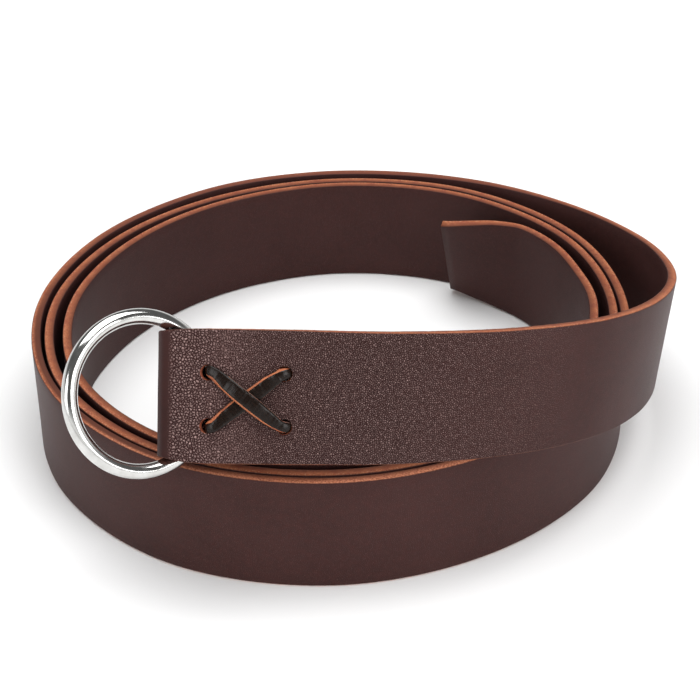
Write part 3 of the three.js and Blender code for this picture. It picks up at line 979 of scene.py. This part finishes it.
def ring_steel():
    """Polished steel with faint smears and very fine pits."""
    n = Nodes("ring_steel")
    place = n.add("ShaderNodeTexCoord").outputs["Object"]
    smears = n.noise(place, *SMEARS)
    pits = n.noise(place, *PITS)
    return n.surface({
        "Base Color": n.blend(n.fit(smears, *SMEARS_TO_LIGHT), STEEL_DARK, STEEL_LIGHT),
        "Metallic": 1.0,
        "Roughness": n.fit(smears, *SMEARS_TO_ROUGHNESS),
        "Normal": n.bump(pits, PIT_DEPTH, PIT_STRENGTH)})


# Pieces

edge = cut_edge("raw_edge", EDGE_LIGHT, EDGE_DARK, EDGE_MARK)
lace_edge = cut_edge("lace_edge", LACE_EDGE_LIGHT, LACE_EDGE_DARK, EDGE_LIGHT)
# The last one is a painted highlight for the lace's overhanging corner
lace_highlight_edge = cut_edge("lace_highlight_edge", LACE_HIGHLIGHT_LIGHT, LACE_HIGHLIGHT_DARK, LACE_HIGHLIGHT_DARK)

strap = strap_mesh([strap_leather(), edge])
punch(strap)
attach(strap, "strap")
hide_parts("strap")

ring = ring_mesh(ring_steel())
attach(ring, "ring")
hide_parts("ring")

lace = lace_mesh([lace_leather(), lace_edge, lace_highlight_edge])
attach(lace, "strap")
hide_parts("cross_lace")


# Camera, fitted to the photograph's view, in the belt's own frame

CAMERA_PLACE = (-1.77, -482.55, 329.7)
CAMERA_PITCH = 32.53
CAMERA_LENS = 87.5
CAMERA_SENSOR = 36.0

camera_data = bpy.data.cameras.new("camera")
camera_data.lens = CAMERA_LENS
camera_data.sensor_width = CAMERA_SENSOR
camera = bpy.data.objects.new("camera", camera_data)
camera.location = [value * MM for value in CAMERA_PLACE]
camera.rotation_euler = (math.radians(90 - CAMERA_PITCH), 0, 0)
bpy.context.collection.objects.link(camera)
bpy.context.scene.camera = camera


# Floor and light, in metres and watts

FLOOR_SIZE = 6.0
FLOOR_DROP = -0.0003
FLOOR_GREY = (0.9, 0.9, 0.9, 1)
FLOOR_ROUGHNESS = 0.7
FLOOR_SHINE = 0.2

# name, place, what it aims at, size, power
SOFTBOXES = [
    ("above", (0.05, 0.1, 1.2), (0, 0, 0.03), (1.4, 1.0), 19.0),
    ("front_left", (-1.15, -1.2, 0.8), (0, 0, 0.04), (0.9, 0.9), 9.0),
    ("front_right", (1.15, -1.2, 0.8), (0, 0, 0.04), (0.9, 0.9), 13.0),
]

# The surroundings' light, by how steeply up one looks: strong up to GLOW_TOP, weak from DIM_FROM
GLOW, GLOW_TOP = 1.0, 0.15
DIM, DIM_FROM = 0.12, 0.4
WHITE = (1, 1, 1, 1)


def floor():
    mesh = bpy.data.meshes.new("floor")
    half = FLOOR_SIZE / 2
    corners = [(-half, -half), (half, -half), (half, half), (-half, half)]
    mesh.from_pydata([(x, y, FLOOR_DROP) for x, y in corners], [], [(0, 1, 2, 3)])
    mesh.materials.append(Nodes("floor").surface({
        "Base Color": FLOOR_GREY,
        "Roughness": FLOOR_ROUGHNESS,
        "Specular IOR Level": FLOOR_SHINE}))
    piece = bpy.data.objects.new("floor", mesh)
    bpy.context.collection.objects.link(piece)


def softbox(name, place, aim, size, power):
    light = bpy.data.lights.new(name, "AREA")
    light.shape = "RECTANGLE"
    light.size, light.size_y = size
    light.energy = power
    lamp = bpy.data.objects.new(name, light)
    lamp.location = place
    away = np.subtract(place, aim)
    level = math.hypot(away[0], away[1])
    lamp.rotation_euler = (math.atan2(level, away[2]), 0, math.atan2(away[0], -away[1]))
    bpy.context.collection.objects.link(lamp)


def studio():
    """Soft surroundings: bright close to the horizon, dim above it."""
    world = bpy.data.worlds.new("studio")
    world.use_nodes = True
    tree = world.node_tree
    background = tree.nodes["Background"]
    direction = tree.nodes.new("ShaderNodeTexCoord")
    split = tree.nodes.new("ShaderNodeSeparateXYZ")
    dimming = tree.nodes.new("ShaderNodeMapRange")
    for socket, value in (("From Min", GLOW_TOP), ("From Max", DIM_FROM),
                          ("To Min", GLOW), ("To Max", DIM)):
        dimming.inputs[socket].default_value = value
    tree.links.new(direction.outputs["Generated"], split.inputs["Vector"])
    tree.links.new(split.outputs["Z"], dimming.inputs["Value"])
    tree.links.new(dimming.outputs["Result"], background.inputs["Strength"])
    background.inputs["Color"].default_value = WHITE
    bpy.context.scene.world = world


floor()
for box in SOFTBOXES:
    softbox(*box)
studio()
bpy.context.scene.view_settings.view_transform = "Standard"
